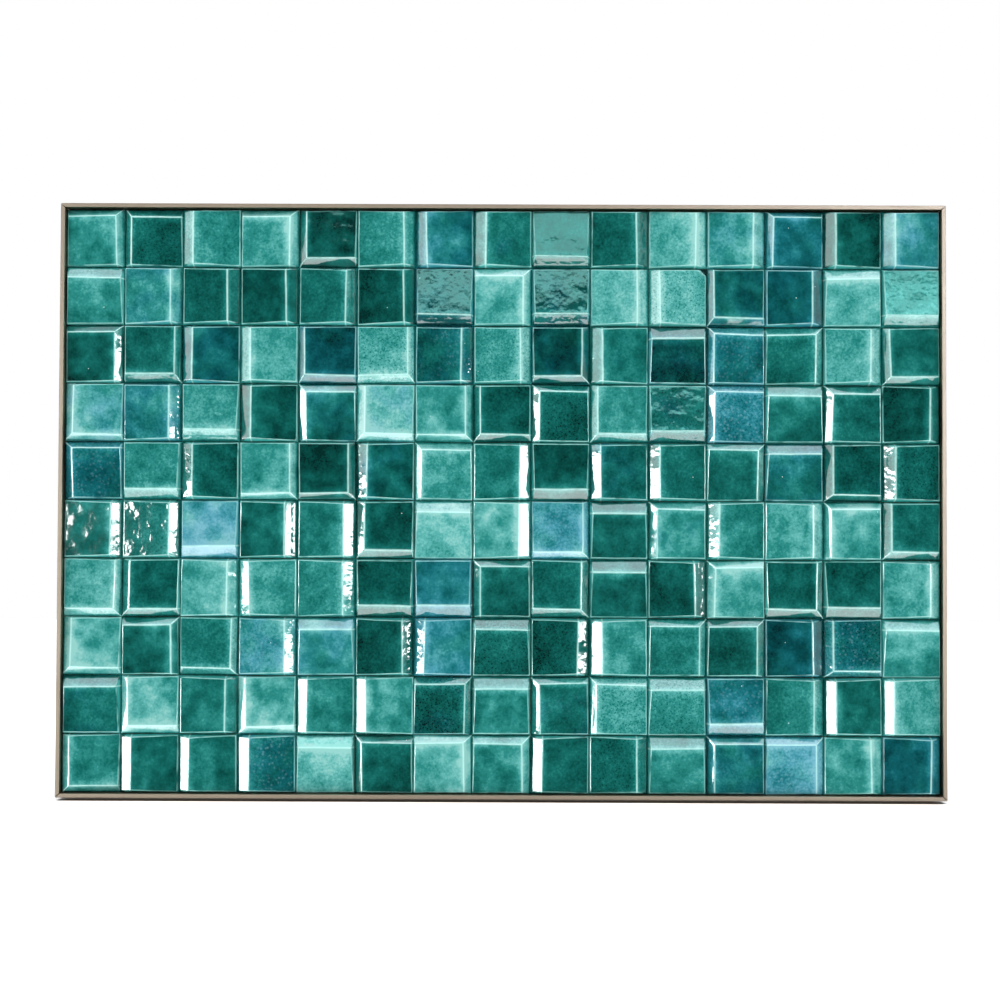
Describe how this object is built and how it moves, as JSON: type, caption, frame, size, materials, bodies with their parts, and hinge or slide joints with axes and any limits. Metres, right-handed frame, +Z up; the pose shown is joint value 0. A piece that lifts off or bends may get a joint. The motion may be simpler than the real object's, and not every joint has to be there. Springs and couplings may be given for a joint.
{
  "type": "mosaic panel",
  "caption": "Framed wall panel of square, bevelled ceramic tiles with a glossy green glaze, butted together on a flat board in a slim metal frame.",
  "frame": {"origin": "centre of the backing board's back face, where the panel is fixed to a wall", "axes": "+X along the width, +Y out of the back towards the wall, +Z up the height; the tiles face -Y"},
  "size_m": [0.7606, 0.0224, 0.5096],
  "materials": {
    "tile_glaze": "glossy translucent copper-green glaze, pale where it thins over edges",
    "frame_metal": "satin, warm champagne grey",
    "board": "plain sanded plywood"
  },
  "bodies": {
    "root": {"backing_board": "board", "frame_bottom": "frame_metal", "frame_right": "frame_metal", "frame_top": "frame_metal", "frame_left": "frame_metal", "tile_row_1": "tile_glaze", "tile_row_2": "tile_glaze", "tile_row_3": "tile_glaze", "tile_row_4": "tile_glaze", "tile_row_5": "tile_glaze", "tile_row_6": "tile_glaze", "tile_row_7": "tile_glaze", "tile_row_8": "tile_glaze", "tile_row_9": "tile_glaze", "tile_row_10": "tile_glaze"}
  },
  "joints": []
}
